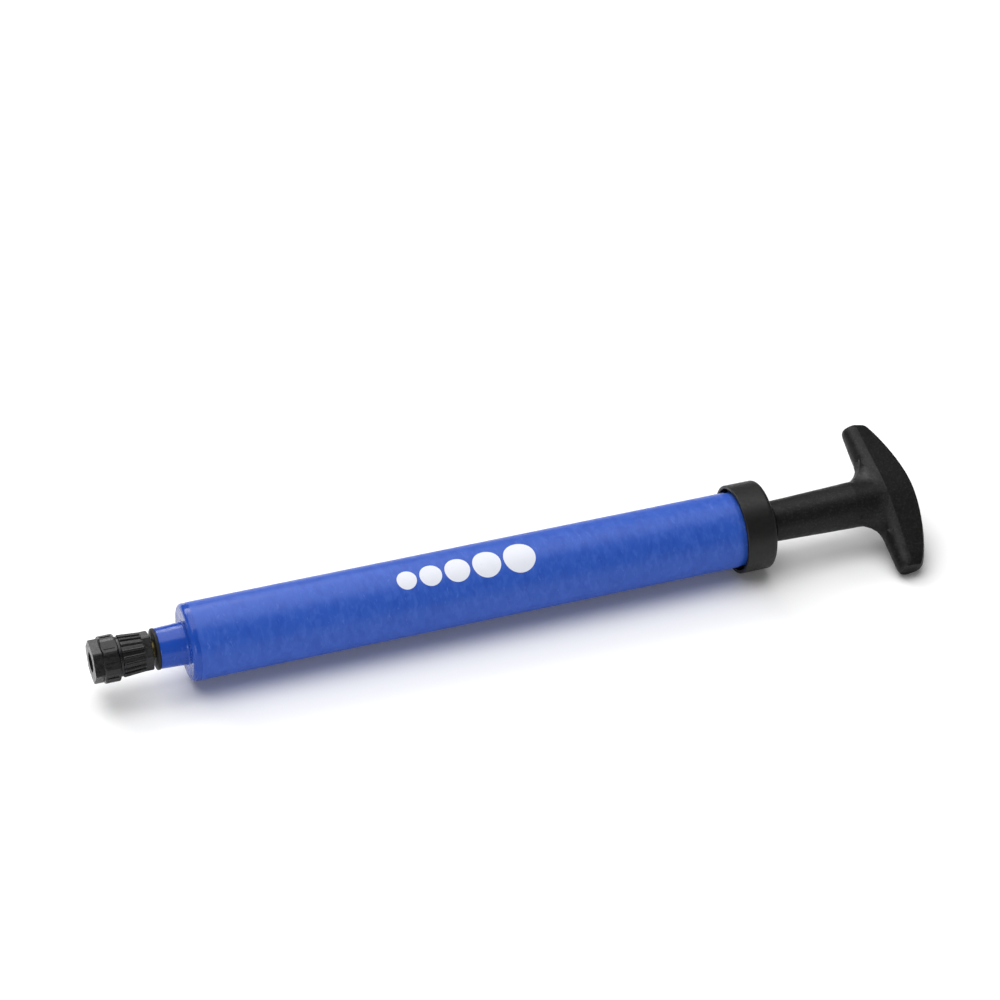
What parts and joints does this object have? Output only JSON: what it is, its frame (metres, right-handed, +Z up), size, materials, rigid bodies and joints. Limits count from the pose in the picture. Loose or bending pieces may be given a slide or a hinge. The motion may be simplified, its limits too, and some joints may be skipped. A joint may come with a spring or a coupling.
{
  "type": "ball inflation pump",
  "caption": "Hand pump for inflating balls: blue plastic barrel, black T-handle, end cap and knurled needle nozzle, lying on its side",
  "frame": {"origin": "centre of the bounding box's underside, below the pump's axis", "axes": "+X from the nozzle to the handle along the pump's axis, +Z up, pump lying on its side on the end cap's rim and one tip of the grip"},
  "size_m": [0.3028, 0.057, 0.0318],
  "materials": {
    "barrel_blue": "semi-gloss moulded, polished band at the shoulder",
    "cap_black": "fine satin",
    "handle_black": "fine spark-eroded grain",
    "nozzle_black": "satin",
    "bush_acetal": "natural, satin",
    "seal_rubber": "smooth",
    "nipple_metal": "dark, tarnished",
    "rod_steel": "zinc plated",
    "ball_steel": "polished",
    "spring_steel": "drawn wire",
    "print_white": "pad-printed ink on the barrel"
  },
  "bodies": {
    "barrel": {"barrel": "barrel_blue", "end_cap": "cap_black", "guide_bush": "bush_acetal", "valve_seat": "seal_rubber", "neck_washer": "seal_rubber", "nipple": "nipple_metal"},
    "piston": {"piston_hub": "bush_acetal", "spreader_plate": "bush_acetal", "cup_seal": "seal_rubber", "back_plate": "bush_acetal", "hub_ring": "spring_steel"},
    "handle": {"rod_spindle": "rod_steel", "rod_nut": "rod_steel", "rod_washer": "rod_steel", "piston_rod": "rod_steel", "stop_ring": "seal_rubber", "handle_bumper": "seal_rubber", "t_handle": "handle_black"},
    "valve": {"valve_ball": "ball_steel", "valve_spring": "spring_steel"},
    "grommet": {"tip_grommet": "seal_rubber"},
    "sleeve": {"grip_sleeve": "nozzle_black"},
    "tip": {"tip_socket": "nozzle_black", "socket_washer": "seal_rubber"}
  },
  "joints": [
    {"name": "pump_stroke", "type": "slide", "parent": "barrel", "child": "piston", "axis": [1, 0, 0], "range_m": [0, 0.179]},
    {"name": "handle_turn", "type": "hinge", "parent": "piston", "child": "handle", "pos_m": [0.1, 0, 0.0159], "axis": [1, 0, 0], "continuous": true},
    {"name": "valve_lift", "type": "slide", "parent": "barrel", "child": "valve", "axis": [-1, 0, 0], "range_m": [0, 0.0012], "stiffness_N_per_m": 100, "springref_m": -0.001, "deforming": ["valve_spring"]},
    {"name": "union_travel", "type": "slide", "parent": "barrel", "child": "grommet", "axis": [-1, 0, 0], "range_m": [0, 0.003]},
    {"name": "sleeve_turn", "type": "hinge", "parent": "grommet", "child": "sleeve", "pos_m": [-0.137, 0, 0.0159], "axis": [-1, 0, 0], "range_deg": [0, 1081]},
    {"name": "tip_turn", "type": "hinge", "parent": "grommet", "child": "tip", "pos_m": [-0.145, 0, 0.0159], "axis": [-1, 0, 0], "continuous": true}
  ],
  "couplings": [
    {"joint": "sleeve_turn", "follows": "union_travel", "rad_per_m": 6283.2}
  ]
}
